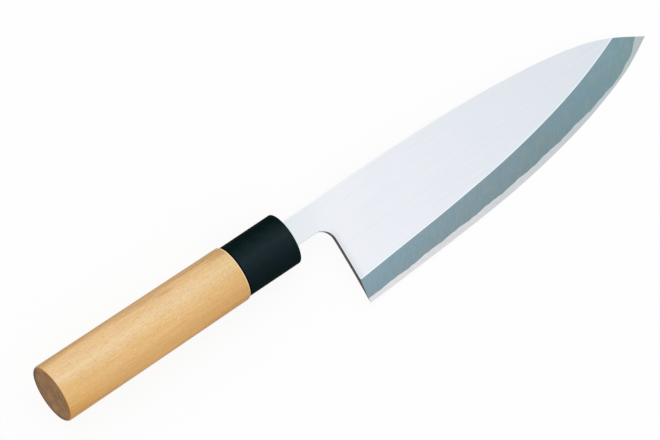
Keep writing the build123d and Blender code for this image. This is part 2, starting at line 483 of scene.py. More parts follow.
def field(shell, ring_points, height, lines, step, finish):
    """One face of a plate, cut into triangles that keep to the ring and the given lines."""
    ring_ids, ring_plan = ring_points
    points = [tuple(p) for p in ring_plan]
    edges = [(i, (i + 1) % len(points)) for i in range(len(points))]
    for line in lines:
        closed = np.allclose(line[0], line[-1])
        inner = line[:-1] if closed else line[1:-1]
        chain = list(range(len(points), len(points) + len(inner)))
        points.extend(tuple(p) for p in inner)
        if closed:
            chain.append(chain[0])
        else:
            ends = [int(np.argmin(np.linalg.norm(ring_plan - end, axis=1)))
                    for end in (line[0], line[-1])]
            chain = [ends[0], *chain, ends[1]]
        edges.extend(zip(chain, chain[1:]))
    points.extend(tuple(p) for p in scattered(ring_plan, np.array(points), step))
    only_inside = 1
    corners, _, triangles, origins, *_ = geometry.delaunay_2d_cdt(
        [Vector(p) for p in points], edges, [list(range(len(ring_plan)))], only_inside,
        plan_tolerance)
    plan = np.array([(c.x, c.y) for c in corners])
    heights = height(plan[:, 0], plan[:, 1])
    ids = []
    for i, origin in enumerate(origins):
        on_ring = [o for o in origin if o < len(ring_plan)]
        if on_ring:
            ids.append(ring_ids[on_ring[0]])
        else:
            ids.extend(shell.add_points([(*plan[i], heights[i])]))
    for triangle in triangles:
        middle = plan[list(triangle)].mean(axis=0)
        shell.add_face([ids[i] for i in triangle], finish_at(finish, middle))


def scattered(ring, taken, step):
    """Grid points inside the ring that keep clear of the points already there."""
    low, high = ring.min(0), ring.max(0)
    xs, ys = np.meshgrid(np.arange(low[0], high[0], step), np.arange(low[1], high[1], step))
    grid = np.column_stack((xs.ravel(), ys.ravel()))
    grid[:, 0] += (np.round((grid[:, 1] - low[1]) / step) % 2) * step / 2
    grid = grid[is_inside(grid, ring)]
    gaps = np.array([np.linalg.norm(taken - p, axis=1).min() for p in grid])
    return grid[gaps > step * grid_clearance]


def plate(shell, ring, faces, lines, steps, eased, dress):
    """A plate between two faces, with eased corners round its outline.

    Faces, lines, steps and eased stretches come in pairs, for the top and then for the bottom.
    The dress is the finishes of the top, its corner, the wall, the bottom's corner and the bottom.
    """
    way = inward(ring)
    x, y = ring[:, 0], ring[:, 1]
    thickness = np.maximum(faces[0](x, y) - faces[1](x, y), 0)
    stacks = []
    for height, (first_x, last_x), sign in zip(faces, eased, (-1, 1)):
        radius = np.where((x > first_x) & (x < last_x), easing, 0)
        radius = np.minimum(radius, easing_thickness_share * thickness)
        radius = np.where(thickness > thinnest_eased, radius, 0)[:, None]
        stack = []
        for turn in np.linspace(0, np.pi / 2, blade_round_cuts + 1):
            plan = ring + way * (skin_inset + radius * (1 - np.sin(turn)))
            z = height(plan[:, 0], plan[:, 1]) + sign * radius[:, 0] * (1 - np.cos(turn))
            stack.append((shell.add_points(np.column_stack((plan, z))), plan))
        stacks.append(stack)
    upper, lower = stacks
    top, top_corner, wall, bottom_corner, bottom = dress
    field(shell, upper[0], faces[0], lines[0], steps[0], top)
    field(shell, lower[0], faces[1], lines[1], steps[1], bottom)
    chain = [ids for ids, plan in upper + lower[::-1]]
    bands = [top_corner] * blade_round_cuts + [wall] + [bottom_corner] * blade_round_cuts
    for first, second, finish in zip(chain, chain[1:], bands):
        shell.bridge(first, second, finish)


def make_piece(name, shell, node):
    """The shell as an object on the frame, standing for one of its nodes."""
    mesh = bpy.data.meshes.new(name)
    mesh.from_pydata(shell.points, [], shell.faces)
    names = list(dict.fromkeys(shell.finishes))
    for finish in names:
        mesh.materials.append(finishes[finish])
    mesh.polygons.foreach_set("material_index", [names.index(f) for f in shell.finishes])
    wear = mesh.attributes.new("wear", "FLOAT", "POINT")
    wear.data.foreach_set("value", shell.values)
    clean_mesh(mesh)
    place = mesh.attributes.new("place", "FLOAT_VECTOR", "POINT")
    spots = np.zeros(len(mesh.vertices) * 3, np.float32)
    mesh.vertices.foreach_get("co", spots)
    place.data.foreach_set("vector", spots)
    mesh.transform(knife_axes)
    piece = bpy.data.objects.new(name, mesh)
    bpy.context.scene.collection.objects.link(piece)
    shading = piece.modifiers.new("even_shading", "WEIGHTED_NORMAL")
    shading.keep_sharp = True
    shading.weight = large_face_weight
    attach(piece, "root")
    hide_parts(node)
    return piece


def clean_mesh(mesh):
    """Join the mesh where its points meet, turn its faces outward and mark its creases."""
    sheet = bmesh.new()
    sheet.from_mesh(mesh)
    bmesh.ops.remove_doubles(sheet, verts=sheet.verts, dist=merge_distance)
    bmesh.ops.dissolve_degenerate(sheet, edges=sheet.edges, dist=merge_distance / 2)
    bmesh.ops.recalc_face_normals(sheet, faces=sheet.faces)
    for face in sheet.faces:
        face.smooth = True
    for edge in sheet.edges:
        sides = edge.link_faces
        edge.smooth = not (len(sides) == 2 and (
            edge.calc_face_angle(0) > crease_angle
            or sides[0].material_index != sides[1].material_index))
    sheet.to_mesh(mesh)
    sheet.free()


def mount(name):
    return next(m for m in frame["record"]["mounts"] if m["name"] == name)


def find_knife_axes():
    """Matrix from the knife's own millimetres to the scene's metres."""
    forward = -Vector(mount("butt_end")["axis"])
    outward = Vector(mount("grip")["axis"])
    outward = (outward - outward.dot(forward) * forward).normalized()
    upward = outward.cross(forward)
    origin = Vector(mount("butt_end")["pos_m"]) + forward * handle_length * millimetre
    turn = Matrix((forward, upward, outward)).transposed().to_4x4()
    return Matrix.Translation(origin) @ turn @ Matrix.Scale(millimetre, 4)


knife_axes = find_knife_axes()


# Blade pieces

def wall_finish(place):
    """Finish of the blade's narrow sides: a painted dark reflection at the heel, and a greyer one
    under the neck.
    """
    x, y, _ = place
    if y > on_line(spine_line, x) - easing * 2 or x < shoulder_x + easing:
        return "spine"
    if x > neck_length + heel_lean + heel_bow or y < edge_y + easing * 2:
        return "edge"
    return "heel" if y < dark_heel_y else "dull_corner"


def eased_finish(place):
    """Finish of the front's eased corners: painted dark reflection under the neck, the bevel's own
    on the bevel.
    """
    x, y, _ = place
    if y < on_line(bevel_line, x):
        return "bevel"
    under_neck = x < neck_length - choil_radius / 2 and y < neck_bottom_y + easing * 2
    return "dull_corner" if under_neck else "eased"


def back_corner_finish(place):
    """Finish of the back's eased corners: the wall's own round the choil and down the heel."""
    wall = wall_finish(place)
    at_heel = wall in ("heel", "dull_corner") and place[0] > neck_length - choil_radius
    return wall if at_heel else "back"


# Stretches of the blade's length whose corners are eased. The two steels meet with sharp corners.
all_along = (-math.inf, math.inf)
nowhere = (math.inf, math.inf)
behind_joint = (-math.inf, core_start)
past_joint = (core_start + layer_step, math.inf)


def add_tang(shell):
    """The tang, from just inside the neck to its own end."""
    root, end = (
        shell.add_points(soft_rectangle(x, 0, height, thickness, tang_corner))
        for x, height, thickness in (
            (shoulder_x + tang_overlap, tang_root_height, tang_root_thickness),
            (shoulder_x - tang_length, tang_end_height, tang_end_thickness)))
    shell.bridge(root, end, "heel")
    shell.cap(root, "heel")
    shell.cap(end, "heel")


def build_cladding():
    lower = weld_line()
    gap = lower[:, 1] - on_line(spine_line, lower[:, 0])
    last = int(np.flatnonzero((gap[:-1] < 0) & (gap[1:] >= 0))[0])
    last_x = lower[last, 0] + outline_step / 2 * gap[last] / (gap[last] - gap[last + 1])
    heel = heel_line()
    _, start = crossings(lower, np.vstack((heel, heel[::-1] - (past_blade, 0))))[-1]
    lower = np.vstack((start, lower[lower[:, 0] > start[0] + least_run]))
    ring = outline(shoulder_x, lower, last_x)
    half = bevel_line_width / 2
    ridge = [within(bevel_line + (0, shift), ring) for shift in (-half, half)]
    ring = with_ends(ring, ridge)
    step_lines = [across(x, ring) for x in (core_start, core_start + layer_step)]
    thin_line = across(neck_thinning_length, ring)
    ring = with_ends(ring, (*step_lines, thin_line))

    def face_finish(middle):
        above = middle[1] - on_line(bevel_line, middle[0])
        return "flat" if above > half else "bevel_line" if above > -half else "bevel"

    shell = Shell()
    plate(shell, ring, (bevelled_face, layer_floor), ([*ridge, thin_line], step_lines),
          (field_step, field_step), (all_along, behind_joint),
          (face_finish, eased_finish, wall_finish, "back", "back"))
    add_tang(shell)
    return make_piece("blade_cladding_steel", shell, "blade_cladding")


def build_edge_steel():
    ring = outline(core_start, edge_line, tip_x)
    strip = within(weld_line(), ring)
    ring = with_ends(ring, [strip])
    rim = hollow_rim()

    def back_finish(middle):
        return "hollow" if is_inside(np.array([middle]), rim)[0] else "back"

    shell = Shell()
    plate(shell, ring, (layer_top, hollow_back), ([strip], [rim]), (field_step, hollow_step),
          (nowhere, past_joint),
          ("strip", "strip", wall_finish, back_corner_finish, back_finish))
    return make_piece("hard_edge_steel", shell, "edge_steel")


# Ferrule, handle and seal

quarter = np.linspace(0, math.pi / 2, round_cuts + 1)


def oval(x, width, thickness):
    """Oval ring across the handle's axis."""
    turn = np.linspace(0, 2 * np.pi, oval_cuts, endpoint=False)
    return np.column_stack((
        np.full(oval_cuts, x), (width / 2 - skin_inset) * np.cos(turn),
        (thickness / 2 - skin_inset) * np.sin(turn)))


def soft_rectangle(x, middle_y, height, thickness, corner):
    """Rectangle with round corners across the handle's axis, in as many points as an oval."""
    turn = np.linspace(0, 2 * np.pi, oval_cuts, endpoint=False)
    half = np.array([height / 2, thickness / 2]) - corner
    way = np.column_stack((np.cos(turn), np.sin(turn)))
    reach = (np.array([height / 2, thickness / 2]) / np.maximum(abs(way), tiny)).min(1)
    spot = way * reach[:, None]
    inner = np.clip(spot, -half, half)
    away = spot - inner
    length = np.linalg.norm(away, axis=1)
    round_off = np.where(length > corner, corner / np.maximum(length, tiny), 1)[:, None]
    spot = inner + away * round_off
    return np.column_stack((np.full(oval_cuts, x), middle_y + spot[:, 0], spot[:, 1]))


def rounded(x, width, thickness, radius, sign):
    """Rings of an outer corner's round, from the end face to the side, most worn half way."""
    rings = []
    for turn in quarter:
        inset = radius * (1 - math.sin(turn))
        rings.append((oval(x + sign * radius * (1 - math.cos(turn)), width - 2 * inset,
                           thickness - 2 * inset), math.sin(2 * turn)))
    return rings


def unworn(*rings):
    return [(ring, 0.0) for ring in rings]


def skin(shell, rings, finish, closed=False):
    """Join rings one after another. Each is its points and how worn it is there."""
    ids = [shell.add_points(points, wear) for points, wear in rings]
    for first, second in zip(ids, ids[1:] + ids[:1] if closed else ids[1:]):
        shell.bridge(first, second, finish)
    return ids


def build_ferrule():
    slot_height = neck_height + 2 * slot_clearance
    slot_thickness = spine_thickness + 2 * slot_clearance
    inner_width = ferrule_width - 2 * ferrule_wall
    inner_thickness = ferrule_thickness - 2 * ferrule_wall

    def slot(x, spare):
        return soft_rectangle(x, slot_y, slot_height + 2 * spare, slot_thickness + 2 * spare,
                              slot_round + spare)

    rings = unworn(slot(shoulder_x, 0))
    for turn in quarter:
        rings.append((slot(-slot_edge_round * (1 - math.sin(turn)),
                           slot_edge_round * (1 - math.cos(turn))), slot_edge_wear))
    rings += rounded(0, ferrule_width, ferrule_thickness, ferrule_front_round, -1)
    rings += unworn(*(oval(-ferrule_length * share, ferrule_width, ferrule_thickness)
                      for share in np.linspace(0, 1, ferrule_rings)[1:-1]))
    rings += rounded(-ferrule_length, ferrule_width, ferrule_thickness, ferrule_back_round, 1)[::-1]
    rings += unworn(*(oval(x, inner_width, inner_thickness) for x in (-ferrule_length, shoulder_x)))
    shell = Shell()
    skin(shell, rings, "ferrule", closed=True)
    return make_piece("black_ferrule", shell, "ferrule")


def build_handle():
    smaller = 2 * (ferrule_wall + tenon_clearance)
    tenon_width, tenon_thickness = ferrule_width - smaller, ferrule_thickness - smaller
    taper_height = (tang_root_height - tang_end_height) / tang_length
    taper_thickness = (tang_root_thickness - tang_end_thickness) / tang_length
    floor_x = shoulder_x - tang_length - mortise_spare_depth
    grip = handle_length - ferrule_length
    butt_x = skin_inset - handle_length

    def mortise(x):
        behind = shoulder_x - x
        return soft_rectangle(x, 0, tang_root_height + 2 * tang_clearance - taper_height * behind,
                              tang_root_thickness + 2 * tang_clearance - taper_thickness * behind,
                              mortise_corner)

    def grip_ring(x):
        at = (-ferrule_length - x) / grip
        return oval(x, handle_front_width + (handle_butt_width - handle_front_width) * at,
                    handle_front_thickness
                    + (handle_butt_thickness - handle_front_thickness) * at)

    rings = unworn(
        mortise(floor_x), mortise(shoulder_x),
        oval(shoulder_x, tenon_width - 2 * tenon_chamfer, tenon_thickness - 2 * tenon_chamfer),
        oval(shoulder_x - tenon_chamfer, tenon_width, tenon_thickness),
        oval(-ferrule_length, tenon_width, tenon_thickness))
    rings += rounded(-ferrule_length, handle_front_width, handle_front_thickness,
                     handle_front_round, -1)
    straight = grip - handle_front_round - butt_round
    rings += unworn(*(grip_ring(-ferrule_length - handle_front_round - share * straight)
                      for share in np.linspace(0, 1, grip_rings)[1:-1]))
    rings += rounded(butt_x, handle_butt_width, handle_butt_thickness, butt_round, 1)[::-1]
    rings += unworn(*(oval(butt_x, handle_butt_width * share, handle_butt_thickness * share)
                      for share in butt_ring_shares))
    shell = Shell()
    ids = skin(shell, rings, "wood")
    shell.cap(ids[0], "wood")
    shell.cap(ids[-1], "wood")
    return make_piece("magnolia_handle", shell, "handle")


def build_seal():
    def gap_ring(x, share):
        spare = slot_clearance * (1 - share)
        return soft_rectangle(x, slot_y, neck_height + 2 * spare, spine_thickness + 2 * spare,
                              slot_round * (1 - share) + easing * share)

    rings = unworn(*(gap_ring(-recess, share)
                     for share, recess in zip(seal_gap_shares, seal_recesses)),
                   gap_ring(shoulder_x, 1), gap_ring(shoulder_x, 0))
    shell = Shell()
    skin(shell, rings, "seal", closed=True)
    return make_piece("resin_seal", shell, "tang_seal")


# Shaders

stroke_tones = (0.3, 0.7)         # between which the tone of brush strokes mostly lies
scratch_tones = (0.40, 0.68)      # the same for the stone's scratches
scratch_angle = math.radians(54)  # of the stone's scratches on the bevel, from the knife's length
low_tint_share = 0.25             # of the bevel's height, about where the weld comes out
# Where the painted shade on the flat in front of the heel lies
heel_painted_shade_x = (neck_length + 4.2, neck_length + 0.9)
heel_painted_shade_y = (neck_bottom_y - 1.0, neck_bottom_y - choil_radius)


class Sketch:
    """Lays out nodes in a tree and links them as it goes."""

    def __init__(self, tree):
        self.tree = tree

    def feed(self, sockets, values):
        """Give each socket, by its number or its name, a link or a plain value."""
        for key, value in values.items():
            socket = sockets[key.replace("_", " ") if isinstance(key, str) else key]
            if isinstance(value, bpy.types.NodeSocket):
                self.tree.links.new(value, socket)
            else:
                socket.default_value = value

    def node(self, kind, inputs=None, **settings):
        made = self.tree.nodes.new("ShaderNode" + kind)
        for name, value in settings.items():
            setattr(made, name, value)
        self.feed(made.inputs, inputs or {})
        return made

    def effect(self, name, **inputs):
        """One of the shared effects, placed in this tree with its own values."""
        made = self.node("Group", node_tree=effects[name])
        self.feed(made.inputs, inputs)
        return made.outputs

    def math(self, operation, *values, clamp=False):
        made = self.node("Math", dict(enumerate(values)), operation=operation, use_clamp=clamp)
        return made.outputs[0]

    def times(self, first, second, clamp=False):
        return self.math("MULTIPLY", first, second, clamp=clamp)

    def plus(self, first, second, clamp=False):
        return self.math("ADD", first, second, clamp=clamp)

    def minus(self, first, second):
        return self.math("SUBTRACT", first, second)

    def blend(self, first, second, share):
        """The first value by its share, and the second by the rest."""
        return self.plus(self.times(first, share), self.times(second, 1 - share))

    def remap(self, value, low, high, new_low=0.0, new_high=1.0, smooth=False):
        made = self.node("MapRange", {0: value, 1: low, 2: high, 3: new_low, 4: new_high},
                         interpolation_type="SMOOTHSTEP" if smooth else "LINEAR")
        return made.outputs[0]

    def by_strokes(self, strokes, low, high):
        """A value that follows brush strokes, from the darkest to the brightest."""
        return self.remap(strokes["Tone"], *stroke_tones, low, high)

    def noise(self, place, scale, detail=2.0, roughness=0.5):
        made = self.node("TexNoise", {"Vector": place, "Scale": scale, "Detail": detail,
                                      "Roughness": roughness})
        return made.outputs["Fac"]

    def grain(self, place, along, across):
        """The place, scaled along and across the handle's grain."""
        return self.vector_math("MULTIPLY", place, (along, across, across))

    def spots(self, place, along, across, limits, detail=2.0, roughness=0.5):
        """Mask of spots in the grain, where their noise lies between the limits."""
        noise = self.noise(self.grain(place, along, across), 1.0, detail, roughness)
        return self.remap(noise, *limits)

    def vector_math(self, operation, *values):
        made = self.node("VectorMath", dict(enumerate(values)), operation=operation)
        return made.outputs[0]

    def scaled(self, colour, factor):
        """The colour times a factor."""
        return self.node("VectorMath", {0: colour, "Scale": factor}, operation="SCALE").outputs[0]

    def mix(self, share, first, second, blend="MIX"):
        """Two colours mixed by a share. Each is a socket, or its red, green and blue."""
        first, second = (colour if isinstance(colour, bpy.types.NodeSocket) else (*colour, 1)
                         for colour in (first, second))
        made = self.node("Mix", {0: share, 6: first, 7: second}, data_type="RGBA", blend_type=blend)
        return made.outputs[2]

    def tint(self, share, colour, tint):
        return self.mix(share, colour, tint, "MULTIPLY")

    def ramp(self, share, tones):
        """Colours laid out along a share from zero to one."""
        made = self.node("ValToRGB", {0: share})
        elements = made.color_ramp.elements
        for place, _ in tones[1:-1]:
            elements.new(place)
        for element, (place, colour) in zip(elements, tones):
            element.position = place
            element.color = (*colour, 1)
        return made.outputs[0]

    def straying_ramp(self, share, patches, reach, tones):
        """A ramp whose share strays with the patches."""
        strayed = self.times(self.minus(patches["Tone"], 0.5), reach)
        return self.ramp(self.plus(share, strayed, clamp=True), tones)

    def place(self):
        return self.node("Attribute", attribute_name="place").outputs["Vector"]

    def axes(self, place):
        return self.node("SeparateXYZ", {0: place}).outputs

    def mark(self, name):
        """A value that the mesh carries at each of its points."""
        return self.node("Attribute", attribute_name=name).outputs["Fac"]

    def surface(self, colour, rough, height, strength, depth, **constants):
        """Finish the material: a shader with fine relief, and what is constant all over it."""
        bump = self.node("Bump", {"Strength": strength, "Distance": depth * millimetre,
                                  "Height": height})
        shader = self.node("BsdfPrincipled", {"Base Color": colour, "Roughness": rough,
                                              "Normal": bump.outputs[0]})
        self.feed(shader.inputs, constants)
        self.show(shader)

    def show(self, shader, kind="OutputMaterial"):
        self.node(kind, {"Surface": shader.outputs[0]})


def new_effect(name, inputs, outputs):
    """An empty node group with outputs and inputs by name. The inputs have their first values."""
    tree = bpy.data.node_groups.new(name, "ShaderNodeTree")
    for label, value in inputs.items():
        kind = "NodeSocketVector" if isinstance(value, tuple) else "NodeSocketFloat"
        tree.interface.new_socket(label, in_out="INPUT", socket_type=kind).default_value = value
    for label in outputs:
        tree.interface.new_socket(label, in_out="OUTPUT", socket_type="NodeSocketFloat")
    given, out = tree.nodes.new("NodeGroupInput"), tree.nodes.new("NodeGroupOutput")
    return Sketch(tree), given.outputs, out.inputs


def brush_strokes():
    """Fine parallel strokes of a grinding belt or stone, with coarser ones among them."""
    fine_share, coarse_scale, depth_scale = 0.7, 0.23, 0.2
    sketch, given, out = new_effect(
        "brush strokes",
        {"Place": (0, 0, 0), "Stroke length": 20.0, "Stroke width": 0.1, "Turn": 0.0},
        ["Tone", "Height"])
    turned = sketch.node("VectorRotate", {"Vector": given["Place"], "Angle": given["Turn"]},
                         rotation_type="Z_AXIS").outputs[0]
    squeeze = sketch.node("CombineXYZ", {
        0: sketch.math("DIVIDE", 1.0, given["Stroke length"]),
        1: sketch.math("DIVIDE", 1.0, given["Stroke width"]),
        2: sketch.math("DIVIDE", depth_scale, given["Stroke width"])}).outputs[0]
    stretched = sketch.vector_math("MULTIPLY", turned, squeeze)
    fine = sketch.noise(stretched, 1.0, detail=3.0, roughness=0.6)
    coarse = sketch.noise(stretched, coarse_scale, detail=1.0)
    sketch.feed(out, {"Tone": sketch.blend(fine, coarse, fine_share), "Height": fine})
    return sketch.tree


def soft_patches():
    """Cloudy patches of two sizes, about one half in the middle."""
    large_share, small_scale, middle = 0.65, 6.0, 0.5
    sketch, given, out = new_effect(
        "soft patches", {"Place": (0, 0, 0), "Patch size": 10.0, "Contrast": 1.0}, ["Tone"])
    scale = sketch.math("DIVIDE", 1.0, given["Patch size"])
    large = sketch.noise(given["Place"], scale)
    small = sketch.noise(given["Place"], sketch.times(scale, small_scale), detail=3.0)
    swing = sketch.minus(sketch.blend(large, small, large_share), middle)
    swing = sketch.times(swing, given["Contrast"])
    sketch.feed(out, {"Tone": sketch.plus(swing, middle, clamp=True)})
    return sketch.tree


def worn_rims():
    """Mask of rubbed corners, broken up so that it comes and goes along the rim."""
    broken_limits = (0.35, 0.75)
    sketch, given, out = new_effect(
        "worn rims", {"Wear": 0.0, "Place": (0, 0, 0), "Amount": 0.5}, ["Mask"])
    broken = sketch.noise(given["Place"], 0.9, detail=4.0, roughness=0.65)
    worn = sketch.times(given["Wear"], sketch.remap(broken, *broken_limits))
    sketch.feed(out, {"Mask": sketch.times(worn, given["Amount"], clamp=True)})
    return sketch.tree


effects = {"strokes": brush_strokes(), "patches": soft_patches(), "rims": worn_rims()}


def new_material(name):
    """An empty material and the sketch of its nodes."""
    material = bpy.data.materials.new(name)
    material.use_nodes = True
    material.node_tree.nodes.clear()
    return material, Sketch(material.node_tree)


def steel(name, tones, roughness, stroke, patch, relief, metallic=1.0, turn=0.0,
          low_tint=None, heel_painted_shade=None, scratch=None):
    """A steel finish: strokes of its grinding over patches, changing slightly towards the tip.

    The tones run from the ferrule to the tip. The stroke is its length, its width and how much it
    changes the tone. The patch is its size, its contrast and how much it swings each of red,
    green and blue. The low tint is reached where the bevel meets the weld, and the painted heel
    shade darkens the flat in front of the heel. The scratch is the length, width and strength of
    the stone's slanting marks.
    """
    material, sketch = new_material(name)
    place = sketch.place()
    x, y, _ = sketch.axes(place)
    length, width, swing = stroke
    size, contrast, colour_swings = patch
    strokes = sketch.effect("strokes", Place=place, Stroke_length=length, Stroke_width=width,
                            Turn=turn)
    patches = sketch.effect("patches", Place=place, Patch_size=size, Contrast=contrast)
    colour = sketch.ramp(sketch.remap(x, 0.0, tip_x), tones)
    if low_tint:
        lowered = sketch.remap(sketch.mark("bevel_share"), 1.0, low_tint_share)
        colour = sketch.tint(lowered, colour, low_tint)
    # Painted shade on the flat in front of the heel
    if heel_painted_shade:
        near = sketch.remap(x, *heel_painted_shade_x, smooth=True)
        below = sketch.remap(y, *heel_painted_shade_y, smooth=True)
        colour = sketch.tint(sketch.times(near, below), colour, heel_painted_shade)
    cloud = sketch.mix(patches["Tone"], [1 - part for part in colour_swings],
                       [1 + part for part in colour_swings])
    colour = sketch.tint(1.0, colour, cloud)
    colour = sketch.scaled(colour, sketch.by_strokes(strokes, 1 - swing, 1 + swing))
    if scratch:
        length, width, strength = scratch
        slanting = sketch.effect("strokes", Place=place, Stroke_length=length,
                                 Stroke_width=width, Turn=-scratch_angle)
        colour = sketch.scaled(colour, sketch.remap(
            slanting["Tone"], *scratch_tones, 1 - strength / 2, 1 + strength))
    sketch.surface(colour, sketch.by_strokes(strokes, *roughness), strokes["Height"],
                   strength=1.0, depth=relief, Metallic=metallic)
    return material


# Wood of the handle: its colours from the edge side to the spine side, which paint a pale lit band
# above the middle and shade towards both sides, then those of its details
wood_tones_painted_light = (
    (0.0, (0.58, 0.31, 0.098)), (0.12, (0.74, 0.415, 0.143)), (0.30, (0.808, 0.50, 0.212)),
    (0.46, (0.822, 0.516, 0.220)), (0.66, (0.874, 0.638, 0.365)), (0.88, (0.787, 0.517, 0.250)),
    (1.0, (0.50, 0.29, 0.12)))
wood_sides = (-13.0, 13.0)
cool_mottle, warm_mottle = (1.015, 0.985, 1.06), (0.99, 1.015, 0.93)
brown_fleck, pale_fleck = (0.58, 0.31, 0.11), (0.97, 0.78, 0.46)
pale_flecks_start_y, pale_flecks_end_y = (-9.0, 1.0), (12.5, 8.0)
ferrule_shade, ferrule_shade_x = (0.94, 0.93, 0.87), (-58.0, -34.0)
butt_shade, butt_shade_x, butt_shade_y = (1.0, 0.955, 0.83), (-104.0, -120.0), (0.0, -8.0)
# Painted highlight on the wood's front round, next to the ferrule
painted_front_highlight = (1.0, 0.84, 0.55)
painted_front_highlight_x, painted_front_highlight_y = (-ferrule_length - 0.95, -ferrule_length - 0.65), (-13.0, -5.0)
lit_rim, shaded_rim, rim_shade_z = (0.34, 0.14, 0.045), (0.075, 0.037, 0.012), (2.0, -6.0)

# Its sawn end
pith = (-46.0, 24.0)              # of the tree, beside the handle
growth_ring_width = 1.7
saw_angle = math.radians(62)
dark_end, pale_end = (0.164, 0.080, 0.026), (0.340, 0.172, 0.063)
end_tones = (0.28, 0.82)          # between which its mottled tone mostly lies
# Painted shade on the end face, towards its low rim
painted_end_shade, painted_end_shade_z = (0.062, 0.036, 0.015), (2.0, -4.0)
painted_end_shade_out = (handle_butt_width * 0.36, handle_butt_width * 0.46)


def magnolia():
    """Magnolia wood: straight fine grain with short flecks, and darker end grain at the butt."""
    material, sketch = new_material("oiled magnolia")
    place = sketch.place()
    x, y, z = sketch.axes(place)
    patches = sketch.effect("patches", Place=sketch.grain(place, along=0.12, across=1.0),
                            Patch_size=7.0, Contrast=2.2)
    fibre = sketch.effect("strokes", Place=place, Stroke_length=7.0, Stroke_width=0.3)
    mottle = sketch.spots(place, along=0.35, across=0.75, limits=(0.34, 0.66), roughness=0.6)
    flecks = sketch.spots(place, along=0.5, across=2.4, limits=(0.58, 0.72), detail=1.0)
    pale_flecks = sketch.spots(place, along=0.75, across=1.5, limits=(0.56, 0.76), roughness=0.6)
    upward = sketch.times(sketch.remap(y, *pale_flecks_start_y, 0.2, 0.6),
                          sketch.remap(y, *pale_flecks_end_y, 0.35, 1.0))
    low_butt = sketch.times(sketch.remap(x, *butt_shade_x), sketch.remap(y, *butt_shade_y))
    front = sketch.times(sketch.remap(x, *painted_front_highlight_x), sketch.remap(y, *painted_front_highlight_y, 0.4, 1.0))
    end = sketch.mark("end_grain")

    # Painted light and shade across the handle: a pale lit band above the middle, darker towards
    # both sides
    side = sketch.remap(y, *wood_sides)
    colour = sketch.straying_ramp(side, patches, reach=0.17, tones=wood_tones_painted_light)
    colour = sketch.tint(sketch.remap(x, *ferrule_shade_x), colour, ferrule_shade)
    colour = sketch.tint(low_butt, colour, butt_shade)
    colour = sketch.scaled(colour, sketch.by_strokes(fibre, low=0.90, high=1.10))
    colour = sketch.tint(1.0, colour, sketch.mix(mottle, cool_mottle, warm_mottle))
    colour = sketch.mix(sketch.times(flecks, 0.45), colour, brown_fleck)
    colour = sketch.mix(sketch.times(pale_flecks, upward), colour, pale_fleck)
    # Painted highlight along the wood's front round
    colour = sketch.mix(front, colour, painted_front_highlight)
    rim = sketch.mix(sketch.remap(z, *rim_shade_z), lit_rim, shaded_rim)
    colour = sketch.mix(sketch.remap(end, 0.0, 0.5), colour, rim)
    colour = sketch.mix(sketch.remap(end, 0.5, 1.0), colour, end_grain(sketch, place, y, z))
    height = sketch.minus(fibre["Height"], sketch.times(flecks, 0.5))
    sketch.surface(colour, sketch.by_strokes(fibre, low=0.46, high=0.6), height,
                   strength=0.6, depth=0.03, Specular_IOR_Level=0.18)
    return material


def distance_from(sketch, y, z, middle_y, middle_z):
    """How far a place lies from a line along the handle."""
    away_y, away_z = sketch.minus(y, middle_y), sketch.minus(z, middle_z)
    return sketch.math("SQRT", sketch.plus(sketch.times(away_y, away_y),
                                           sketch.times(away_z, away_z)))


def end_grain(sketch, place, y, z):
    """Colour of the sawn end: mottled brown with faint growth rings, and painted shade darkening
    its low rim.
    """
    mottle = sketch.effect("patches", Place=place, Patch_size=4.5, Contrast=2.8)
    pores = sketch.noise(sketch.grain(place, along=0.2, across=2.6), 1.0, detail=3.0,
                         roughness=0.7)
    saw_place = sketch.node("Mapping", {"Vector": place, "Rotation": (saw_angle, 0, 0),
                                        "Scale": (0.1, 0.16, 1.6)}).outputs[0]
    saw_marks = sketch.noise(saw_place, 1.0)
    from_pith = distance_from(sketch, y, z, *pith)
    rings = sketch.math("ABSOLUTE", sketch.math("SINE", sketch.math(
        "DIVIDE", from_pith, growth_ring_width / math.pi)))
    tone = sketch.times(mottle["Tone"], 0.5)
    for share, value in ((0.25, pores), (0.25, saw_marks), (0.12, rings)):
        tone = sketch.plus(tone, sketch.times(value, share))
    colour = sketch.mix(sketch.remap(tone, *end_tones), dark_end, pale_end)
    round_z = sketch.times(z, handle_butt_width / handle_butt_thickness)
    out = distance_from(sketch, y, round_z, 0.0, 0.0)
    rim = sketch.times(sketch.remap(out, *painted_end_shade_out, smooth=True), sketch.remap(z, *painted_end_shade_z))
    return sketch.mix(sketch.times(rim, 0.95), colour, painted_end_shade)


# Ferrule: its colours from the edge side to the spine side, which paint a sheen along its middle
# and darken its sides, then those on its rubbed rims and of the painted shade at its joint
ferrule_tones_painted_sheen = (
    (0.0, (0.0035, 0.009, 0.009)), (0.35, (0.0078, 0.0165, 0.0195)),
    (0.60, (0.0150, 0.0265, 0.0310)), (0.90, (0.0030, 0.0090, 0.0095)),
    (1.0, (0.0020, 0.0060, 0.0060)))
rubbed_black, joint_painted_shade = (0.020, 0.029, 0.031), (0.0008, 0.0012, 0.0012)
# Painted shade along the ferrule's back edge, at its joint with the handle
joint_shade_x = (-ferrule_length + 0.8, -ferrule_length + 0.3)

# Seal: its resin, and the dust that dulls it
seal_black, seal_dust = (0.010, 0.009, 0.008), (0.022, 0.019, 0.016)


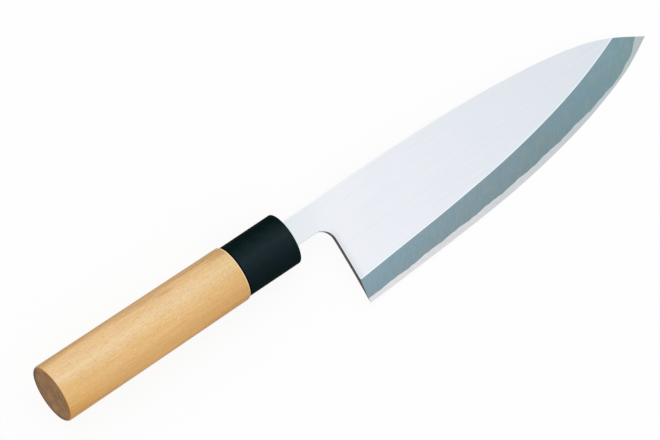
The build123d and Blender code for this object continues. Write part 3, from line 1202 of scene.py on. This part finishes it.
def ferrule_resin():
    """Moulded black resin with a satin surface and a painted sheen along its middle, rubbed bright
    on its rims, with painted shade at its joint with the handle.
    """
    material, sketch = new_material("satin black resin")
    place = sketch.place()
    x, y, _ = sketch.axes(place)
    strokes = sketch.effect("strokes", Place=place, Stroke_length=4.0, Stroke_width=0.3)
    patches = sketch.effect("patches", Place=place, Patch_size=5.0, Contrast=1.8)
    rubbed = sketch.effect("rims", Wear=sketch.mark("wear"), Place=place, Amount=0.3)
    side = sketch.remap(y, -ferrule_width / 2, ferrule_width / 2)
    # Painted sheen: lighter along the middle of the ferrule, darker towards its sides
    colour = sketch.straying_ramp(side, patches, reach=0.16, tones=ferrule_tones_painted_sheen)
    colour = sketch.scaled(colour, sketch.by_strokes(strokes, low=0.84, high=1.18))
    colour = sketch.mix(rubbed["Mask"], colour, rubbed_black)
    # Painted shade at the joint with the handle
    colour = sketch.mix(sketch.remap(x, *joint_shade_x), colour, joint_painted_shade)
    sketch.surface(colour, sketch.by_strokes(strokes, low=0.4, high=0.52), strokes["Height"],
                   strength=0.5, depth=0.01, IOR=1.05, Specular_IOR_Level=0.2)
    return material


def seal_resin():
    """Dark resin poured round the neck, glossy where it set and dusty in patches."""
    material, sketch = new_material("set sealing resin")
    patches = sketch.effect("patches", Place=sketch.place(), Patch_size=2.6, Contrast=1.6)
    colour = sketch.mix(patches["Tone"], seal_black, seal_dust)
    rough = sketch.remap(patches["Tone"], 0.0, 1.0, new_low=0.38, new_high=0.55)
    sketch.surface(colour, rough, patches["Tone"], strength=0.4, depth=0.01,
                   Specular_IOR_Level=0.4)
    return material


finishes = {
    "flat": steel(
        "satin flat",
        ((0.0, (0.775, 0.82, 0.85)), (0.12, (0.845, 0.865, 0.915)), (1.0, (0.705, 0.757, 0.808))),
        roughness=(0.26, 0.34), stroke=(30.0, 0.30, 0.025),
        patch=(22.0, 1.4, (0.022, 0.012, 0.010)), relief=0.002, heel_painted_shade=(0.86, 0.905, 0.905)),
    "bevel": steel(
        "misty bevel",
        ((0.10, (0.260, 0.383, 0.457)), (0.30, (0.256, 0.356, 0.407)),
         (0.52, (0.238, 0.333, 0.381)), (0.64, (0.224, 0.324, 0.371)),
         (0.77, (0.221, 0.334, 0.386)), (1.0, (0.236, 0.366, 0.408))),
        roughness=(0.42, 0.52), stroke=(9.0, 0.35, 0.06), patch=(6.0, 2.2, (0.08, 0.01, -0.06)),
        relief=0.006, metallic=0.85, low_tint=(0.93, 0.91, 0.87), scratch=(1.6, 0.32, 0.10)),
    # Polished strip at the bevel line; its brighter colour is partly a painted highlight
    "bevel_line": steel(
        "polished bevel line with painted highlight", ((0.1, (0.90, 1.0, 1.0)), (1.0, (0.84, 0.95, 0.99))),
        roughness=(0.18, 0.24), stroke=(30.0, 0.09, 0.02),
        patch=(22.0, 1.2, (0.02, 0.02, 0.02)), relief=0.001),
    "strip": steel(
        "misty edge strip",
        ((0.10, (0.770, 0.755, 0.780)), (0.55, (0.640, 0.660, 0.675)),
         (0.82, (0.530, 0.590, 0.610)), (1.0, (0.467, 0.530, 0.549))),
        roughness=(0.40, 0.5), stroke=(6.0, 0.35, 0.06), patch=(3.0, 2.2, (0.05, 0.03, 0.03)),
        relief=0.004, metallic=0.8),
    "edge": steel(
        "honed edge",
        ((0.1, (0.80, 0.81, 0.82)), (0.7, (0.66, 0.69, 0.71)), (1.0, (0.48, 0.50, 0.53))),
        roughness=(0.2, 0.3), stroke=(6.0, 0.06, 0.04), patch=(4.0, 1.5, (0.04, 0.04, 0.04)),
        relief=0.002),
    "eased": steel(
        "eased corner", ((0.1, (0.88, 0.90, 0.94)), (1.0, (0.76, 0.80, 0.84))),
        roughness=(0.28, 0.36), stroke=(30.0, 0.09, 0.02),
        patch=(22.0, 1.2, (0.02, 0.02, 0.02)), relief=0.001),
    # Painted dark reflection: grey under the neck, turning as dark as the heel round the choil
    "dull_corner": steel(
        "corner under the neck painted with dark reflection",
        ((0.0, (0.62, 0.66, 0.66)), (0.074, (0.56, 0.59, 0.60)), (0.081, (0.30, 0.305, 0.31)),
         (0.090, (0.12, 0.115, 0.115))),
        roughness=(0.34, 0.44), stroke=(6.0, 0.3, 0.06), patch=(4.0, 1.6, (0.05, 0.04, 0.04)),
        relief=0.003, metallic=0.35),
    "spine": steel(
        "ground spine", ((0.1, (0.84, 0.85, 0.86)), (1.0, (0.80, 0.82, 0.84))),
        roughness=(0.28, 0.4), stroke=(8.0, 0.10, 0.05), patch=(6.0, 1.5, (0.03, 0.03, 0.03)),
        relief=0.004),
    # Painted dark reflection: the heel face is coloured as dark as the surroundings it mirrors
    "heel": steel(
        "heel face painted with dark reflection", ((0.0, (0.066, 0.052, 0.050)), (1.0, (0.066, 0.052, 0.050))),
        roughness=(0.45, 0.6), stroke=(3.0, 0.10, 0.10), patch=(2.5, 2.0, (0.16, 0.14, 0.14)),
        relief=0.006, metallic=0.6, turn=math.pi / 2),
    "back": steel(
        "stoned back rim", ((0.1, (0.72, 0.74, 0.76)), (1.0, (0.70, 0.73, 0.75))),
        roughness=(0.22, 0.32), stroke=(18.0, 0.08, 0.03),
        patch=(12.0, 1.4, (0.03, 0.03, 0.03)), relief=0.002),
    "hollow": steel(
        "ground hollow", ((0.1, (0.60, 0.63, 0.66)), (1.0, (0.58, 0.61, 0.64))),
        roughness=(0.3, 0.42), stroke=(40.0, 0.16, 0.05), patch=(14.0, 1.4, (0.04, 0.04, 0.04)),
        relief=0.005),
    "wood": magnolia(),
    "ferrule": ferrule_resin(),
    "seal": seal_resin(),
}


# Building the pieces

faces_side, faces_end = 0.6, 0.98  # cosines from the grain, between which the end grain comes in


def set_mark(piece, name, values):
    """Give the piece's points a value that its material reads."""
    mark = piece.data.attributes.new(name, "FLOAT", "POINT")
    mark.data.foreach_set("value", np.asarray(values, np.float32))


def places_of(piece):
    spots = np.zeros(len(piece.data.vertices) * 3, np.float32)
    piece.data.attributes["place"].data.foreach_get("vector", spots)
    return spots.reshape(-1, 3)


def mark_bevel(piece):
    x, y, _ = places_of(piece).T
    set_mark(piece, "bevel_share", np.clip(share_of_bevel(x, y), 0, 1))


def mark_end_grain(piece):
    """How far each point of the handle faces along the grain: one on its ends, none beside."""
    forward = knife_axes.to_3x3().col[0].normalized()
    faced = np.array([abs(v.normal.dot(forward)) for v in piece.data.vertices])
    set_mark(piece, "end_grain",
             np.clip((faced - faces_side) / (faces_end - faces_side), 0, 1))


mark_bevel(build_cladding())
mark_bevel(build_edge_steel())
build_ferrule()
mark_end_grain(build_handle())
build_seal()

# Floor, light and camera

floor_size = 12.0
floor_gap = 0.00005
floor_grey = 0.94
floor_glow = 0.9                  # share of plain white in what the camera sees of the floor
sky_light = 0.85                  # strength of the white sky where it lights the knife
lamp_spot = (-200, 1500, 1500)    # in millimetres on the knife's axes, as is the aim
lamp_aim = (30, 0, 0)
lamp_size = 1.6
lamp_power = 8.0

# The camera's place as angles about the knife's axes
view_lean = math.radians(24.647)  # towards the butt
view_tilt = math.radians(4.68)    # towards the spine
view_roll = math.radians(33.771)  # of the picture
view_distance = 3500.0
view_target = (22.894, -4.133, 0.0)
view_end = 100.0
picture_width = 660
focal_pixels = 8150.0
sensor_width = 36.0


def seen_as_background(sketch):
    """One where the camera, a reflection or a glass looks at it, none where it lights the knife."""
    ray = sketch.node("LightPath")
    shown = sketch.math("MAXIMUM", ray.outputs["Is Camera Ray"], ray.outputs["Is Glossy Ray"])
    return sketch.math("MAXIMUM", shown, ray.outputs["Is Transmission Ray"])


def build_floor():
    mesh = bpy.data.meshes.new("floor")
    half = floor_size / 2
    corners = [(-half, -half), (half, -half), (half, half), (-half, half)]
    mesh.from_pydata([(x, y, -floor_gap) for x, y in corners], [], [(0, 1, 2, 3)])
    material, sketch = new_material("white table")
    share = sketch.times(seen_as_background(sketch), floor_glow)
    matt = sketch.node("BsdfDiffuse", {"Color": (floor_grey, floor_grey, floor_grey, 1)})
    glow = sketch.node("Emission", {"Color": (1, 1, 1, 1), "Strength": 1.0})
    sketch.show(sketch.node("MixShader", {0: share, 1: matt.outputs[0], 2: glow.outputs[0]}))
    mesh.materials.append(material)
    floor = bpy.data.objects.new("floor", mesh)
    bpy.context.scene.collection.objects.link(floor)


def build_world():
    world = bpy.data.worlds.new("studio")
    bpy.context.scene.world = world
    world.use_nodes = True
    world.node_tree.nodes.clear()
    sketch = Sketch(world.node_tree)
    level = sketch.remap(seen_as_background(sketch), 0.0, 1.0, sky_light, 1.0)
    sky = sketch.node("Background", {"Color": (1, 1, 1, 1), "Strength": level})
    sketch.show(sky, "OutputWorld")


def build_lamp():
    """Square soft lamp over the spine's side, turned to its aim."""
    lamp = bpy.data.lights.new("key_lamp", "AREA")
    lamp.size = lamp_size
    lamp.energy = lamp_power
    holder = bpy.data.objects.new("key_lamp", lamp)
    start, end = knife_axes @ Vector(lamp_spot), knife_axes @ Vector(lamp_aim)
    holder.location = start
    holder.rotation_euler = (end - start).to_track_quat("-Z", "Y").to_euler()
    bpy.context.scene.collection.objects.link(holder)


def build_camera():
    """The camera, on its own axes: outward to it from the target, and right and up as it sees."""
    outward = Vector((-math.sin(view_lean), math.cos(view_lean) * math.sin(view_tilt),
                      math.cos(view_lean) * math.cos(view_tilt)))
    level = Vector((math.cos(view_lean), math.sin(view_lean) * math.sin(view_tilt),
                    math.sin(view_lean) * math.cos(view_tilt)))
    upright = Vector((0, math.cos(view_tilt), -math.sin(view_tilt)))
    right = level * math.cos(view_roll) - upright * math.sin(view_roll)
    up = level * math.sin(view_roll) + upright * math.cos(view_roll)
    lens = bpy.data.cameras.new("camera")
    lens.sensor_width = sensor_width
    lens.lens = focal_pixels * sensor_width / picture_width
    lens.clip_end = view_end
    camera = bpy.data.objects.new("camera", lens)
    turn = knife_axes.to_3x3().normalized()
    facing = (turn @ Matrix((right, up, outward)).transposed()).to_4x4()
    spot = Vector(view_target) + outward * view_distance
    camera.matrix_world = Matrix.Translation(knife_axes @ spot) @ facing
    bpy.context.scene.collection.objects.link(camera)
    bpy.context.scene.camera = camera


build_floor()
build_world()
build_lamp()
build_camera()
bpy.context.scene.view_settings.view_transform = "Standard"
